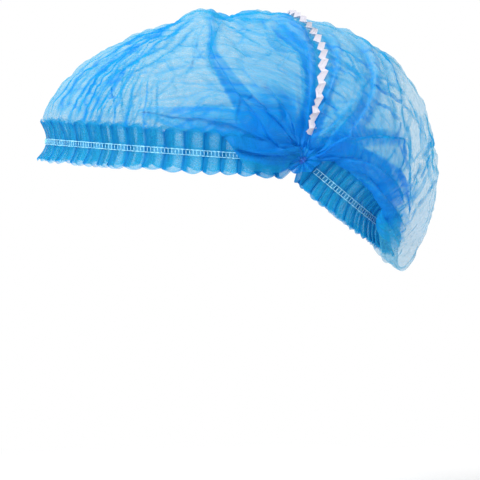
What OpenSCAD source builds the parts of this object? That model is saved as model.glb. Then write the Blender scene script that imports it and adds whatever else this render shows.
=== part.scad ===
// Pleated clip cap: a disposable head cover of pleated spunbond polypropylene.
// The cap opens like a fan about the line through its two side gathers, the fan line.
// The origin is the middle of the fan line. The brow is towards -X, the wearer's left is
// towards -Y, and +Z is up. A fan angle is measured about the fan line, from level at the
// brow, over the crown and down to the nape.

/* [Head fit] */
// Fan line to the front elastic at the brow
brow_reach = 138; // [112:1:168]
// Fan line to the rear elastic at the nape
nape_reach = 62; // [50:1:76]
// Half the distance between the two side gathers, at the elastics
half_span = 68.5; // [56:0.5:84]
// How far in front of the fan line the front hem is widest
temple_offset = 40; // [30:1:50]
// How far behind the fan line the rear hem is widest
nape_offset = 8; // [2:1:14]
// Fan angle of the front hem
brow_angle = 4; // [0:1:10]
// Fan angle of the rear hem
nape_angle = 220; // [214:1:226]
// Lean of the rear hem at the nape, back from upright
nape_lean = 15; // [8:1:25]

/* [Crown] */
// Reach of the crown at fan angle 30
forehead_reach = 121; // [100:1:146]
// Reach of the crown at fan angle 60
forecrown_reach = 95; // [78:1:115]
// Reach of the crown at its top, fan angle 90
crown_height = 78; // [65:1:94]
// Reach of the crown at fan angle 120
aftcrown_reach = 73.5; // [61:0.5:89]
// Reach of the bag behind the head
bag_reach = 73; // [61:1:88]
// How far from the fan line the crown is widest, at its top
crown_offset = 22; // [14:1:28]
// How far from the fan line the bag is widest
bag_offset = 26; // [16:1:32]
// How far the bag hangs below the top of the rear hem
bag_drop = 29; // [18:1:35]
// How far the hanging bag stands off the rear hem
bag_depth = 17; // [12:1:22]
// Modelled thickness of one layer of fabric in the crown
crown_wall = 1; // [0.8:0.1:1.2]

/* [Hems] */
// Width of the doubled band above the elastic
band_rise = 11; // [8:0.5:14]
// Width of the frill below the elastic
frill_drop = 10; // [7:0.5:13]
// How far the band's upper edge stands off the head
band_flare = 3; // [1:0.5:4]
// How far the frill's lower edge stands off the head
frill_flare = 3.5; // [1:0.5:5]
// Modelled thickness of each hem layer
hem_wall = 0.8; // [0.6:0.1:1]
// Width of the flat elastic
elastic_width = 3.8; // [3:0.1:4.6]
// Thickness of the flat elastic
elastic_thickness = 0.7; // [0.5:0.1:0.9]

/* [Stitching] */
// Modelled thickness of a sewing thread
thread = 0.5; // [0.4:0.05:0.6]
// Distance between the two rows of needle thread
row_gap = 2.8; // [2.2:0.1:3.4]
// Length of one stitch of the zigzag cover thread
stitch_pitch = 4; // [3.2:0.1:5]

/* [Crown tape] */
// Width of the white crown tape
tape_width = 3.6; // [3:0.1:4.4]
// Thickness of the crown tape
tape_thickness = 0.5; // [0.4:0.1:0.6]
// Length of one folded facet of the tape
tape_pitch = 4; // [3.2:0.1:5]
// Height of the tape's folds
tape_fold = 1.2; // [0.8:0.1:1.5]
// Fan angle of the tape at the top of the crown
tape_angle = 86; // [82:1:92]
// How much further back the tape lies beside the gathers, in degrees
tape_lean = 18; // [6:1:20]
// Share of the way to a gather over which the tape bows back
tape_bow = 0.34; // [0.28:0.02:0.6]

/* [Side gathers] */
// Radius of the stack of pleats at each side gather
gather_radius = 7; // [6:0.25:8.5]
// Thickness of the stack of pleats
gather_depth = 3; // [2.4:0.2:3.6]
// Number of pleats standing round each stack
gather_pleats = 12; // [8:1:16]
// Radius of the thread tack that each hem turns about
tack_radius = 2.5; // [2:0.1:3]

/* [Hidden] */

FABRIC = "deepskyblue";
FOLDED = "dodgerblue";
PALE = "paleturquoise";
WHITE = "whitesmoke";

layer_gap = 0.1;       // between the layers of one hem
clear = 0.4;           // between pieces that move past each other
edge_gap = 1;          // between a hem's upper edge and the crown's lower edge
hem_start = tack_radius + 0.8;
crown_start = gather_radius + clear;
end_half = elastic_width / 2 + 0.6;
widening = 0.8;        // how fast a hem widens away from its gather
flare_run = 25;        // distance over which a hem reaches its full flare
face_in = elastic_thickness / 2 + layer_gap;
face_out = face_in + hem_wall;
front_rings = 56;
rear_rings = 40;

// A hem: fan angle, widest place, semi-length, semi-width, side that the crown is on, lean
function semi_width(offset, length, span, at) = span / sqrt(1 - pow((at - offset) / length, 2));
front_length = brow_reach - temple_offset;
rear_length = nape_reach - nape_offset;
front_width = semi_width(temple_offset, front_length, half_span, 0);
rear_width = semi_width(nape_offset, rear_length, half_span, 0);
FRONT = [brow_angle, temple_offset, front_length, front_width, 1, brow_angle];
REAR = [nape_angle, nape_offset, rear_length, rear_width, -1, nape_lean];

function unit(v) = v / norm(v);
function mix(a, b, k) = a * (1 - k) + b * k;
function ease(k) = k <= 0 ? 0 : k >= 1 ? 1 : k * k * (3 - 2 * k);
function fan_dir(angle) = [-cos(angle), 0, sin(angle)];
function fan_of(p) = let (a = atan2(p[2], -p[0])) a < -60 ? a + 360 : a;

// Smooth curve through stations [x, value], with x rising
function slope_at(s, i) =
    i == 0 ? (s[1][1] - s[0][1]) / (s[1][0] - s[0][0])
    : i == len(s) - 1 ? (s[i][1] - s[i - 1][1]) / (s[i][0] - s[i - 1][0])
    : (s[i + 1][1] - s[i - 1][1]) / (s[i + 1][0] - s[i - 1][0]);
function span_of(s, x, i = 0) = i >= len(s) - 2 || x < s[i + 1][0] ? i : span_of(s, x, i + 1);
function hermite(p, q, m, n, w, k) =
    p * (2 * pow(k, 3) - 3 * k * k + 1) + m * w * (pow(k, 3) - 2 * k * k + k)
    + q * (3 * k * k - 2 * pow(k, 3)) + n * w * (pow(k, 3) - k * k);
function through(s, x) =
    let (i = span_of(s, x), w = s[i + 1][0] - s[i][0], k = (x - s[i][0]) / w)
    hermite(s[i][1], s[i + 1][1], slope_at(s, i), slope_at(s, i + 1), w, k);

// Hem curve: an arc of an ellipse in the hem's own plane through the fan line.
// share runs from 1 at the left gather to -1 at the right one.
function hem_turn(h, start) = acos((start - h[1]) / h[2]);
function hem_out_from_axis(h, u) = h[1] + h[2] * cos(u);
function hem_point(h, u) = fan_dir(h[0]) * hem_out_from_axis(h, u) + [0, -h[3] * sin(u), 0];
function hem_plane_normal(h, u) = unit(fan_dir(h[0]) * cos(u) / h[2] + [0, -sin(u) / h[3], 0]);
function hem_rise(h, u) =
    let (side = [sin(h[0]), 0, cos(h[0])] * h[4])
    let (middle = [sin(h[5]), 0, cos(h[5])])
    let (k = pow(max(hem_out_from_axis(h, u), 0) / (h[1] + h[2]), 2))
    unit(mix(side, middle, k));
function hem_out(h, u) =
    let (n = hem_plane_normal(h, u), r = hem_rise(h, u))
    unit(n - r * (n * r));
function hem_half(h, u, full) = min(full, end_half + (hem_out_from_axis(h, u) - hem_start) * widening);
function hem_flare(h, u, full) = full * min(1, (hem_out_from_axis(h, u) - hem_start) / flare_run);
function hem_at(h, u, rise, out) = hem_point(h, u) + hem_rise(h, u) * rise + hem_out(h, u) * out;

// Crown: for each fan angle, an arc of an ellipse from one gather to the other
gather_in = hem_point(FRONT, hem_turn(FRONT, gather_radius))[1] * -1
    + face_out + band_flare * (gather_radius - hem_start) / flare_run + clear;
crown_side = gather_in + gather_depth / 2;
DOME = [
    [brow_angle, brow_reach + band_flare + face_out], [30, forehead_reach], [60, forecrown_reach],
    [90, crown_height], [120, aftcrown_reach], [180, bag_reach], [nape_angle + 20, bag_reach + 4]
];
WIDEST = [[brow_angle, temple_offset], [90, crown_offset], [180, bag_offset], [240, bag_offset]];
function arc_point(angle, reach, share) =
    let (c = through(WIDEST, angle), a = reach - c)
    let (b = semi_width(c, a, crown_side, crown_start))
    let (u = share * acos((crown_start - c) / a))
    fan_dir(angle) * (c + a * cos(u)) + [0, -b * sin(u), 0];
function tape_fan(share) = tape_angle + tape_lean * (1 - exp(-pow(share / tape_bow, 2)));
function crown_edge(h, share) =
    let (u = share * hem_turn(h, crown_start))
    hem_at(h, u, hem_half(h, u, band_rise) + edge_gap, hem_flare(h, u, band_flare) + face_out + clear);

// A gap at the tape keeps the two crown panels apart
function seam_gap(reach) = 0.2 / max(reach, crown_start) * 180 / PI;
function front_point(v, share) =
    let (edge = crown_edge(FRONT, share), low = fan_of(edge))
    let (high = tape_fan(share) - seam_gap(norm([edge[0], edge[2]])))
    let (angle = mix(low, high, v))
    arc_point(angle, through(DOME, angle), share)
    + (edge - arc_point(low, through(DOME, low), share)) * pow(1 - v, 3);

// The bag's midline, from the tape down to its lowest place and up again to the rear hem
hem_top = crown_edge(REAR, 0);
BAG = [
    [0, fan_dir(tape_angle) * through(DOME, tape_angle)],
    [0.1, fan_dir(120) * aftcrown_reach],
    [0.2, fan_dir(150) * (aftcrown_reach + bag_reach) / 2],
    [0.3, fan_dir(176) * bag_reach],
    [0.43, hem_top + [bag_depth, 0, bag_drop * 0.1]],
    [0.54, hem_top + [bag_depth * 0.55, 0, bag_drop * -0.6]],
    [0.62, hem_top + [bag_depth * 0.28, 0, bag_drop * -0.9]],
    [0.69, hem_top + [bag_depth * 0.05, 0, -bag_drop]],
    [0.76, hem_top + [bag_depth * -0.08, 0, bag_drop * -0.86]],
    [0.88, hem_top + [bag_depth * -0.05, 0, bag_drop * -0.45]],
    [1, hem_top]
];
function bag_middle(v) = through(BAG, v);
function bag_share(share) = 1 - ease((abs(share) - 0.25) / 0.6);
function rear_polar(v, share) =
    let (low = fan_of(crown_edge(REAR, share)), mid = bag_middle(v), m = bag_share(share))
    let (angle = mix(tape_fan(share), low, v))
    let (turned = mix(angle, fan_of(mid) + (tape_fan(share) - tape_angle) * (1 - v), m))
    let (sink = through(DOME, tape_fan(share)) - through(DOME, tape_angle))
    [turned, mix(through(DOME, angle), norm(mid) + sink * (1 - v), m)];
function rear_point(v, share) =
    let (p = rear_polar(v, share), last = rear_polar(1, share))
    let (shift = v == 0 ? seam_gap(p[1]) : 0)
    arc_point(p[0] + shift, p[1], share)
    + (crown_edge(REAR, share) - arc_point(last[0], last[1], share)) * pow(v, 5);

// A closed wall between an outer and an inner grid of points with as many rows and columns
function wall_faces(rows, cols) =
    let (n = rows * cols)
    concat(
        [for (i = [0 : rows - 2], j = [0 : cols - 2]) each
            [[i * cols + j, i * cols + j + 1, (i + 1) * cols + j + 1],
             [i * cols + j, (i + 1) * cols + j + 1, (i + 1) * cols + j]]],
        [for (i = [0 : rows - 2], j = [0 : cols - 2]) each
            [[n + i * cols + j, n + (i + 1) * cols + j + 1, n + i * cols + j + 1],
             [n + i * cols + j, n + (i + 1) * cols + j, n + (i + 1) * cols + j + 1]]],
        [for (j = [0 : cols - 2]) each edge_faces(j, j + 1, n)],
        [for (j = [0 : cols - 2]) each edge_faces((rows - 1) * cols + j + 1, (rows - 1) * cols + j, n)],
        [for (i = [0 : rows - 2]) each edge_faces((i + 1) * cols, i * cols, n)],
        [for (i = [0 : rows - 2]) each edge_faces((i + 1) * cols - 1, (i + 2) * cols - 1, n)]
    );
function edge_faces(a, b, n) = [[a, n + a, n + b], [a, n + b, b]];
module wall(outer, inner) {
    polyhedron([each [for (row = outer) each row], each [for (row = inner) each row]],
        wall_faces(len(outer), len(outer[0])));
}

// Crown panel: its outer grid, set in by the wall along the surface's own normal
// The columns lie closer together towards the gathers, where the hems narrow.
panel_cols = 36;
function panel_share(j) = cos(180 * j / panel_cols);
function inset(grid, depth) =
    [for (i = [0 : len(grid) - 1]) [for (j = [0 : len(grid[0]) - 1])
        let (up = grid[min(i + 1, len(grid) - 1)][j] - grid[max(i - 1, 0)][j])
        let (across = grid[i][min(j + 1, len(grid[0]) - 1)] - grid[i][max(j - 1, 0)])
        grid[i][j] - unit(cross(up, across)) * depth]];
module front_panel() {
    rows = 10;
    grid = [for (i = [0 : rows]) [for (j = [0 : panel_cols])
        front_point(i / rows, panel_share(j))]];
    wall(grid, inset(grid, crown_wall));
}
module rear_panel() {
    rows = 22;
    grid = [for (i = [0 : rows]) [for (j = [0 : panel_cols])
        rear_point(i / rows, panel_share(j))]];
    wall(grid, inset(grid, crown_wall));
}

// Zigzag tape over the seam between the panels, folded up and down and from side to side
tape_ends = 0.9;       // share of the way to each gather
tape_lift = 0.5;       // between the tape's low folds and the crown
tape_shift = 1.2;      // sideways step between folds
function seam_point(share, turn) =
    let (angle = tape_fan(share) + turn)
    arc_point(angle, through(DOME, angle), share);
module tape() {
    folds = 2 * round(PI * crown_height / 2 / tape_pitch * tape_ends);
    rows = [for (i = [0 : folds])
        let (share = tape_ends * (1 - 2 * i / folds), odd = i % 2)
        let (across = unit(seam_point(share, 1) - seam_point(share, -1)))
        let (along = seam_point(share - 0.01, 0) - seam_point(share + 0.01, 0))
        let (out = unit(cross(across, along)))
        [seam_point(share, 0) + out * (tape_lift + odd * tape_fold) + across * (odd - 0.5) * tape_shift,
            across * tape_width / 2, out]];
    function edges(lift) = [for (r = rows) [r[0] + r[1] + r[2] * lift, r[0] - r[1] + r[2] * lift]];
    wall(edges(tape_thickness), edges(0));
}

// Stack of pleats bunched at each end of the fan line
module gather() {
    rib = 0.7;
    translate([0, gather_in, 0])
        rotate([-90, 0, 0])
            difference() {
                union() {
                    cylinder(h = gather_depth - rib, r = gather_radius, $fn = 48);
                    for (i = [0 : gather_pleats - 1])
                        rotate([0, 0, i * 360 / gather_pleats])
                            translate([tack_radius + rib, -rib / 2, 0])
                                cube([gather_radius - tack_radius - 2 * rib, rib, gather_depth]);
                }
                translate([0, 0, -1])
                    cylinder(h = gather_depth + 2, r = tack_radius + layer_gap, $fn = 48);
            }
}

// Thread tack through the gather and between the ends of both hems
module tack() {
    inner_end = half_span - face_out - 1;
    translate([0, inner_end, 0])
        rotate([-90, 0, 0])
            cylinder(h = gather_in + gather_depth - inner_end, r = tack_radius, $fn = 48);
}

// Hem layer between two distances from the hem curve, flaring at both of its edges
function hem_turns(h, rings, start) =
    let (last = hem_turn(h, start))
    [for (i = [0 : rings]) last * (1 - 2 * i / rings)];
function layer_row(h, u, out) = [
    hem_at(h, u, -hem_half(h, u, frill_drop), out + hem_flare(h, u, frill_flare)),
    hem_at(h, u, -elastic_width / 2, out),
    hem_at(h, u, elastic_width / 2, out),
    hem_at(h, u, hem_half(h, u, band_rise), out + hem_flare(h, u, band_flare))
];
module hem_layer(h, rings, low, high) {
    turns = hem_turns(h, rings, hem_start);
    wall([for (u = turns) layer_row(h, u, low)], [for (u = turns) layer_row(h, u, high)]);
}
module elastic(h, rings) {
    turns = hem_turns(h, rings, hem_start);
    half = elastic_width / 2 - 0.1;
    wall([for (u = turns) [for (z = [-half, half]) hem_at(h, u, z, -elastic_thickness / 2)]],
        [for (u = turns) [for (z = [-half, half]) hem_at(h, u, z, elastic_thickness / 2)]]);
}

// Needle thread laid along the face of a hem
stitch_start = gather_radius + clear;
stitch_low = face_out + layer_gap;
module stitch_row(h, rings, middle) {
    turns = hem_turns(h, rings, stitch_start);
    levels = [middle - thread / 2, middle + thread / 2];
    wall([for (u = turns) [for (z = levels) hem_at(h, u, z, stitch_low)]],
        [for (u = turns) [for (z = levels) hem_at(h, u, z, stitch_low + thread)]]);
}

// Cover thread that zigzags between the two needle threads
module cover_thread(h) {
    length = PI * (h[2] + h[3]) / 2 * hem_turn(h, stitch_start) / 90;
    legs = 2 * round(length / stitch_pitch);
    turns = hem_turns(h, legs, stitch_start);
    upright = thread * sqrt(2);
    swing = (row_gap - thread - upright) / 2 - layer_gap;
    function row(i, out) = [for (z = [-upright / 2, upright / 2])
        hem_at(h, turns[i], z + swing * (i % 2 == 0 ? -1 : 1), out)];
    wall([for (i = [0 : legs]) row(i, stitch_low)], [for (i = [0 : legs]) row(i, stitch_low + thread)]);
}

module crown_front() { color(FABRIC) front_panel(); }
module crown_rear() { color(FABRIC) rear_panel(); }
module crown_tape() { color(WHITE) tape(); }
module left_gather() { color(FOLDED) mirror([0, 1, 0]) gather(); }
module right_gather() { color(FOLDED) gather(); }
module left_tack() { color(PALE) mirror([0, 1, 0]) tack(); }
module right_tack() { color(PALE) tack(); }
module front_hem_face() { color(FOLDED) hem_layer(FRONT, front_rings, face_in, face_out); }
module front_hem_turning() { color(FOLDED) hem_layer(FRONT, front_rings, -face_out, -face_in); }
module front_elastic() { color(WHITE) elastic(FRONT, front_rings); }
module front_upper_stitch() { color(PALE) stitch_row(FRONT, front_rings, row_gap / 2); }
module front_lower_stitch() { color(PALE) stitch_row(FRONT, front_rings, -row_gap / 2); }
module front_cover_thread() { color(PALE) cover_thread(FRONT); }
module rear_hem_face() { color(FOLDED) hem_layer(REAR, rear_rings, face_in, face_out); }
module rear_hem_turning() { color(FOLDED) hem_layer(REAR, rear_rings, -face_out, -face_in); }
module rear_elastic() { color(WHITE) elastic(REAR, rear_rings); }
module rear_upper_stitch() { color(PALE) stitch_row(REAR, rear_rings, row_gap / 2); }
module rear_lower_stitch() { color(PALE) stitch_row(REAR, rear_rings, -row_gap / 2); }
module rear_cover_thread() { color(PALE) cover_thread(REAR); }

crown_front();
crown_rear();
crown_tape();
left_gather();
right_gather();
left_tack();
right_tack();
front_hem_face();
front_hem_turning();
front_elastic();
front_upper_stitch();
front_lower_stitch();
front_cover_thread();
rear_hem_face();
rear_hem_turning();
rear_elastic();
rear_upper_stitch();
rear_lower_stitch();
rear_cover_thread();
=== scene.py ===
import math

import bpy
import numpy as np
from mathutils import Matrix, Vector


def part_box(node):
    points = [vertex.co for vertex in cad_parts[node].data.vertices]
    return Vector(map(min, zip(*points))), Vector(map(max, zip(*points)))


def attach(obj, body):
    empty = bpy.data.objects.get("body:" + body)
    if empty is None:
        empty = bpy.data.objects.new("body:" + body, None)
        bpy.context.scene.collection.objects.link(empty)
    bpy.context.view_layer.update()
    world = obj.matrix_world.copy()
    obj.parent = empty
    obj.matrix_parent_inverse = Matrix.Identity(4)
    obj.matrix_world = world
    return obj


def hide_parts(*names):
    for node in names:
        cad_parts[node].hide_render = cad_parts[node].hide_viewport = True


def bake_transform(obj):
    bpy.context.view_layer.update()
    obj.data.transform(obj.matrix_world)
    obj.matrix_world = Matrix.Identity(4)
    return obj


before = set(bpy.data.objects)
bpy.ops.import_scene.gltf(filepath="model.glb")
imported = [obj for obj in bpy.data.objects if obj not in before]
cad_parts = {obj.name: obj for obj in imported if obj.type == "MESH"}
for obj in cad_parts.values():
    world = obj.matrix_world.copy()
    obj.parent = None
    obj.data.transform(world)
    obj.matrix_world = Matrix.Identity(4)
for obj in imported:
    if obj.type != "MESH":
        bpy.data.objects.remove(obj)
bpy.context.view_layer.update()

MM = 0.001
TURN = 2 * math.pi
SEED = 20

# ---------------------------------------------------------------- the cap's own sizes, in mm
BROW_ANGLE = 4.0         # fan angle of the front hem
NAPE_ANGLE = 220.0       # fan angle of the rear hem
NAPE_LEAN = 15.0         # lean of the rear hem at the nape
BAND_RISE = 11.0         # doubled band above the elastic
FRILL_DROP = 10.0        # frill below the elastic
BAND_FLARE = 3.0
FRILL_FLARE = 3.5
ELASTIC = 3.8            # width of the flat elastic
ROW_GAP = 2.8            # between the two rows of needle thread
TAPE_ANGLE = 86.0        # fan angle of the crown tape at the top
TAPE_LEAN = 18.0         # and how much further back it lies beside the gathers
TAPE_BOW = 0.34
TAPE_WIDTH = 3.6
TAPE_FACET = 3.9         # between the folds of the crown tape
FACE_OUT = 1.25          # outer face of a hem, from the middle of its elastic
STITCH = 2.7             # a needle stitch
RUNG = 1.9               # between the crossings of the cover thread
FRONT_PITCH = 9.6        # between the pleats of the front hem
REAR_PITCH = 5.4         # between the pleats of the rear hem
FRONT_CUT = 530          # flat length of the front hem's sheet
REAR_CUT = 320           # flat length of the rear hem's sheet
REAR_FRILL_EXTRA = 1.0   # how much longer the rear frill is
PLEAT_OPEN = 0.62        # share of a pleat's path before its cloth turns back
SCALLOP = 0.66           # share of it that the scallop of the edge takes
FOLD_STAND_NEAR = 1.8    # how far stacked folds stand out at a gather
FOLD_STAND_MORE = 2.9    # and how much further away from it
FRAME_WIDTH = 264        # what the camera takes in at the cap

# dyed spunbond: one sheer layer, a fold, and many layers; the deeper colours also paint shade along creases,
# pleat turns and fold streaks
SHEER, BRIGHT, DEEP = "42AED2", "00A4D8", "0086DC"
HEM_SHEER, HEM_BRIGHT, HEM_DEEP = "24B0DC", "009CD6", "0080C6"


def box_mm(node):
    low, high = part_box(node)
    return np.array(low) / MM, np.array(high) / MM


front_low = box_mm("front_elastic")[0]
rear_high = box_mm("rear_elastic")[1]
crown_high = box_mm("crown_rear")[1]
gather_low, gather_high = box_mm("right_gather")

BROW_REACH = -front_low[0] / math.cos(math.radians(BROW_ANGLE))
NAPE_REACH = rear_high[0] / -math.cos(math.radians(NAPE_ANGLE))
HALF_SPAN = 68.5
GATHER_RADIUS = (gather_high[2] - gather_low[2]) / 2
CROWN_SIDE = (gather_low[1] + gather_high[1]) / 2
CROWN_START = GATHER_RADIUS + 0.4
BAG_REACH = crown_high[0] - 0.5
BAG_DROP = 29.0
BAG_DEPTH = 17.0
CROWN_HEIGHT = 78.0


# ---------------------------------------------------------------- curves and noise
def mix(a, b, k):
    return a * (1 - k) + b * k


def ease(k):
    k = np.clip(k, 0, 1)
    return k * k * (3 - 2 * k)


def unit(v):
    return v / np.linalg.norm(v, axis=-1, keepdims=True)


def through(stations, x):
    """Smooth curve through [(x, value)]; values may be points."""
    xs = np.array([s[0] for s in stations], float)
    ys = np.array([s[1] for s in stations], float).reshape(len(xs), -1)
    slope = np.empty_like(ys)
    slope[0] = (ys[1] - ys[0]) / (xs[1] - xs[0])
    slope[-1] = (ys[-1] - ys[-2]) / (xs[-1] - xs[-2])
    slope[1:-1] = (ys[2:] - ys[:-2]) / (xs[2:] - xs[:-2])[:, None]
    x = np.asarray(x, float)
    i = np.clip(np.searchsorted(xs, x, side="right") - 1, 0, len(xs) - 2)
    w = (xs[i + 1] - xs[i])[..., None]
    k = (x[..., None] - xs[i][..., None]) / w
    value = (ys[i] * (2 * k**3 - 3 * k * k + 1) + slope[i] * w * (k**3 - 2 * k * k + k)
             + ys[i + 1] * (3 * k * k - 2 * k**3) + slope[i + 1] * w * (k**3 - k * k))
    return value[..., 0] if value.shape[-1] == 1 else value


def lattice(seed, cells=256):
    return np.random.default_rng(seed).uniform(-1, 1, (cells, cells))


def noise(x, y, seed):
    """Smooth value noise between -1 and 1, one bump to a unit."""
    table = lattice(seed)
    xi, yi = np.floor(x).astype(int), np.floor(y).astype(int)
    fx, fy = ease(x - xi), ease(y - yi)
    n = table.shape[0]
    a, b = table[xi % n, yi % n], table[(xi + 1) % n, yi % n]
    c, d = table[xi % n, (yi + 1) % n], table[(xi + 1) % n, (yi + 1) % n]
    return mix(mix(a, b, fx), mix(c, d, fx), fy)


# ---------------------------------------------------------------- the hems' curves
class Hem:
    """An arc of an ellipse in the hem's own plane, from the left gather to the right one."""

    def __init__(self, angle, offset, reach, crown_side, lean):
        self.angle, self.offset, self.reach = math.radians(angle), offset, reach
        self.length = reach - offset
        self.width = HALF_SPAN / math.sqrt(1 - (offset / self.length) ** 2)
        self.crown_side, self.lean = crown_side, math.radians(lean)
        self.fan = np.array([-math.cos(self.angle), 0, math.sin(self.angle)])

    def turn(self, start):
        return math.acos((start - self.offset) / self.length)

    def out_from_axis(self, u):
        return self.offset + self.length * np.cos(u)

    def frame(self, u):
        """Point, rise and outward directions at each u."""
        u = np.asarray(u, float)[..., None]
        reach = self.offset + self.length * np.cos(u)
        side = np.array([0, 1, 0])
        point = self.fan * reach - side * self.width * np.sin(u)
        normal = unit(self.fan * np.cos(u) / self.length - side * np.sin(u) / self.width)
        flat = np.array([math.sin(self.angle), 0, math.cos(self.angle)]) * self.crown_side
        upright = np.array([math.sin(self.lean), 0, math.cos(self.lean)])
        rise = unit(mix(flat, upright, (np.maximum(reach, 0) / self.reach) ** 2))
        out = unit(normal - rise * (normal * rise).sum(-1, keepdims=True))
        return point, rise, out

    def half(self, u, full, start, least=2.5, widening=0.8):
        return np.minimum(full, least + (self.out_from_axis(u) - start) * widening)

    def at(self, u, rise, out):
        point, up, away = self.frame(u)
        return point + up * np.asarray(rise)[..., None] + away * np.asarray(out)[..., None]

    def arc_length(self, start, count=4000):
        """Turns spread evenly along the curve, and how far along it each one lies."""
        u = np.linspace(self.turn(start), -self.turn(start), count)
        p = self.frame(u)[0]
        s = np.concatenate([[0], np.cumsum(np.linalg.norm(np.diff(p, axis=0), axis=1))])
        return u, s


HEM_START = 3.3
FRONT = Hem(BROW_ANGLE, 40.0, BROW_REACH, 1, BROW_ANGLE)
REAR = Hem(NAPE_ANGLE, 8.0, NAPE_REACH, -1, NAPE_LEAN)

# ---------------------------------------------------------------- the crown's surface
DOME = [(BROW_ANGLE, BROW_REACH + BAND_FLARE + FACE_OUT), (9, 142.0), (16, 136.5), (22, 130.0), (30, 120.5),
        (38, 111.5), (45, 103.0), (52, 99.5), (56.5, 97.0), (61, 88.5), (66, 86.5), (74, 83.5), (83, 79.5),
        (90, CROWN_HEIGHT), (94, 75.0), (101, 73.5), (110, 75.5), (115, 75.5), (121, 71.5), (128, 71.0),
        (150, 71.0), (169, 71.7), (180, BAG_REACH), (NAPE_ANGLE + 20, BAG_REACH + 4)]
WIDEST = [(BROW_ANGLE, 40), (90, 22), (180, 26), (240, 26)]


def fan_dir(angle):
    a = np.radians(angle)
    return np.stack([-np.cos(a), np.zeros_like(a), np.sin(a)], -1)


def fan_of(p):
    a = np.degrees(np.arctan2(p[..., 2], -p[..., 0]))
    return np.where(a < -60, a + 360, a)


def arc_point(angle, reach, share):
    """Point on the arc from gather to gather at one fan angle. share is 1 at the left gather."""
    c = through(WIDEST, angle)
    a = reach - c
    b = CROWN_SIDE / np.sqrt(1 - ((CROWN_START - c) / a) ** 2)
    u = share * np.arccos((CROWN_START - c) / a)
    return fan_dir(angle) * (c + a * np.cos(u))[..., None] + np.array([0, -1, 0]) * (b * np.sin(u))[..., None]


def tape_fan(share):
    return TAPE_ANGLE + TAPE_LEAN * (1 - np.exp(-(share / TAPE_BOW) ** 2))


def crown_edge(hem, share):
    """Where the crown meets the upper edge of a hem's band."""
    u = share * hem.turn(CROWN_START)
    flare = BAND_FLARE * np.minimum(1, (hem.out_from_axis(u) - HEM_START) / 25)
    return hem.at(u, hem.half(u, BAND_RISE, HEM_START), flare + FACE_OUT)


def lapped_edge(share):
    """The crown's lower front edge: above the band, and over the whole hem beside the gathers."""
    u = share * FRONT.turn(CROWN_START)
    lap = ease((np.abs(share) - 0.79) / 0.11)
    flare = BAND_FLARE * np.minimum(1, (FRONT.out_from_axis(u) - HEM_START) / 25)
    rise = mix(FRONT.half(u, BAND_RISE, HEM_START), -0.75 * FRONT.half(u, FRILL_DROP, HEM_START), lap)
    return FRONT.at(u, rise, flare + FACE_OUT + 2.6 * lap)


def front_surface(v, share):
    edge = lapped_edge(share)
    low = np.maximum(fan_of(edge), -40)
    angle = mix(low, tape_fan(share), v)
    shift = (edge - arc_point(low, through(DOME, low), share)) * ((1 - v) ** 3)[..., None]
    return arc_point(angle, through(DOME, angle), share) + shift


hem_top = crown_edge(REAR, np.array(0.0))
BAG = [(0, fan_dir(np.array(TAPE_ANGLE)) * through(DOME, TAPE_ANGLE)),
       (0.1, fan_dir(np.array(120.0)) * 73.5),
       (0.2, fan_dir(np.array(150.0)) * (73.5 + BAG_REACH) / 2),
       (0.3, fan_dir(np.array(176.0)) * BAG_REACH),
       (0.43, hem_top + np.array([BAG_DEPTH, 0, BAG_DROP * 0.1])),
       (0.54, hem_top + np.array([BAG_DEPTH * 0.55, 0, BAG_DROP * -0.6])),
       (0.62, hem_top + np.array([BAG_DEPTH * 0.28, 0, BAG_DROP * -0.9])),
       (0.69, hem_top + np.array([BAG_DEPTH * 0.05, 0, -BAG_DROP])),
       (0.76, hem_top + np.array([BAG_DEPTH * -0.08, 0, BAG_DROP * -0.86])),
       (0.88, hem_top + np.array([BAG_DEPTH * -0.05, 0, BAG_DROP * -0.45])),
       (1, hem_top)]


def rear_polar(v, share):
    low, middle = fan_of(crown_edge(REAR, share)), through(BAG, v)
    m = 1 - ease((np.abs(share) - 0.33) / 0.55)
    angle = mix(tape_fan(share), low, v)
    turned = mix(angle, fan_of(middle) + (tape_fan(share) - TAPE_ANGLE) * (1 - v), m)
    sink = through(DOME, tape_fan(share)) - through(DOME, TAPE_ANGLE)
    return turned, mix(through(DOME, angle), np.linalg.norm(middle, axis=-1) + sink * (1 - v), m)


def rear_surface(v, share):
    angle, reach = rear_polar(v, share)
    last, last_reach = rear_polar(np.ones_like(v), share)
    shift = (crown_edge(REAR, share) - arc_point(last, last_reach, share)) * (v**5)[..., None]
    return arc_point(angle, reach, share) + shift


# ---------------------------------------------------------------- meshes
def deselect():
    bpy.ops.object.select_all(action="DESELECT")


def finished(obj, name):
    """One active, selected object with its new name."""
    deselect()
    obj.name = obj.data.name = name
    obj.select_set(True)
    bpy.context.view_layer.objects.active = obj
    return obj


def cloth_grid(name, points, uv):
    """A sheet whose vertices lie at points[row, column], in mm, with its own flat UV map in mm."""
    rows, cols = points.shape[:2]
    deselect()
    bpy.ops.mesh.primitive_grid_add(x_subdivisions=cols - 1, y_subdivisions=rows - 1, size=2)
    obj = finished(bpy.context.object, name)
    mesh = obj.data
    mesh.vertices.foreach_set("co", (points.reshape(-1, 3) * MM).astype(np.float32).ravel())
    layer = mesh.uv_layers.active or mesh.uv_layers.new(name="UVMap")
    corner = np.empty(len(mesh.loops), int)
    mesh.loops.foreach_get("vertex_index", corner)
    layer.data.foreach_set("uv", uv.reshape(-1, 2)[corner].astype(np.float32).ravel())
    mesh.update()
    return obj


def store(obj, name, values):
    """A number for each vertex that a material reads as an attribute."""
    mesh = obj.data
    old = mesh.attributes.get(name)
    if old:
        mesh.attributes.remove(old)
    layer = mesh.attributes.new(name, "FLOAT", "POINT")
    layer.data.foreach_set("value", np.asarray(values, np.float32).ravel())


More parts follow.
